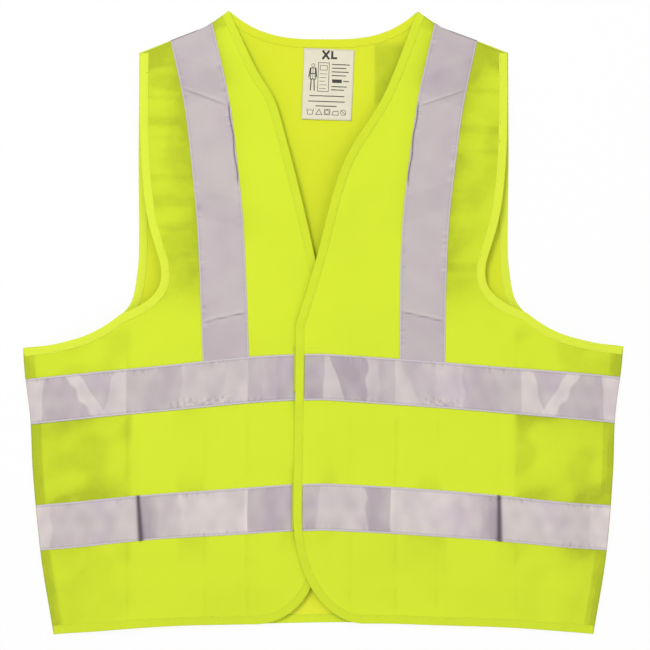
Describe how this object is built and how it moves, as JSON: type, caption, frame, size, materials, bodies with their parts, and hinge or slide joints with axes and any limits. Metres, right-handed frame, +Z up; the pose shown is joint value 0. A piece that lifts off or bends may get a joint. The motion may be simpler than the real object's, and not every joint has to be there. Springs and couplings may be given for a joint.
{
  "type": "high visibility vest",
  "caption": "Sleeveless open-front yellow safety vest lying flat, with grey reflective bands round chest and waist and over the shoulders, overlapping fronts, bound edges and a neck label.",
  "frame": {"origin": "centre of the vest's bounding box in plan, on the surface that the vest lies on, back side down", "axes": "+X to the wearer's left, +Y from the hem to the collar, +Z up out of the front"},
  "size_m": [0.651, 0.678, 0.0166],
  "materials": {
    "yellow_fabric": "fluorescent yellow-green warp-knit polyester, matte with a faint sheen",
    "edge_binding": "fluorescent yellow-green folded knit binding with a lockstitch",
    "seam_allowance": "folded layers of the shell fabric, overlocked",
    "reflective_tape": "glass-bead retroreflective tape, satin warm grey with storage creases",
    "hook_tape": "moulded hook side of hook-and-loop tape",
    "loop_tape": "brushed loop side of hook-and-loop tape",
    "woven_label": "off-white printed satin label"
  },
  "bodies": {
    "shell": {"back_panel": "yellow_fabric", "left_front_panel": "yellow_fabric", "right_front_panel": "yellow_fabric", "back_neck_binding": "edge_binding", "left_neck_binding": "edge_binding", "right_neck_binding": "edge_binding", "back_hem_binding": "edge_binding", "left_hem_binding": "edge_binding", "right_hem_binding": "edge_binding", "left_back_armhole_binding": "edge_binding", "right_back_armhole_binding": "edge_binding", "left_front_armhole_binding": "edge_binding", "right_front_armhole_binding": "edge_binding", "left_side_seam": "seam_allowance", "right_side_seam": "seam_allowance", "left_shoulder_seam": "seam_allowance", "right_shoulder_seam": "seam_allowance", "back_chest_tape": "reflective_tape", "left_chest_tape": "reflective_tape", "right_chest_tape": "reflective_tape", "back_waist_tape": "reflective_tape", "left_waist_tape": "reflective_tape", "right_waist_tape": "reflective_tape", "left_back_brace_tape": "reflective_tape", "right_back_brace_tape": "reflective_tape", "left_front_brace_tape": "reflective_tape", "right_front_brace_tape": "reflective_tape"},
    "left_flap": {"left_front_flap": "yellow_fabric", "left_flap_binding": "edge_binding", "left_flap_chest_tape": "reflective_tape", "left_flap_waist_tape": "reflective_tape", "upper_hook_patch": "hook_tape", "lower_hook_patch": "hook_tape"},
    "right_flap": {"right_front_flap": "yellow_fabric", "right_flap_binding": "edge_binding", "right_flap_chest_tape": "reflective_tape", "right_flap_waist_tape": "reflective_tape", "upper_loop_patch": "loop_tape", "lower_loop_patch": "loop_tape"},
    "neck_label": {"size_label": "woven_label"}
  },
  "joints": [
    {"name": "left_front_fold", "type": "hinge", "parent": "shell", "child": "left_flap", "pos_m": [0.075, 0, 0.013], "axis": [0, 1, 0], "range_deg": [0, 165]},
    {"name": "right_front_fold", "type": "hinge", "parent": "shell", "child": "right_flap", "pos_m": [-0.075, 0, 0.013], "axis": [0, -1, 0], "range_deg": [0, 165]},
    {"name": "label_lift", "type": "hinge", "parent": "shell", "child": "neck_label", "pos_m": [0.006, 0.29782, 0.0031], "axis": [-0.9992, 0.0401, 0], "range_deg": [0, 160]}
  ],
  "couplings": [
    {"joint": "right_front_fold", "follows": "left_front_fold", "ratio": 1}
  ]
}
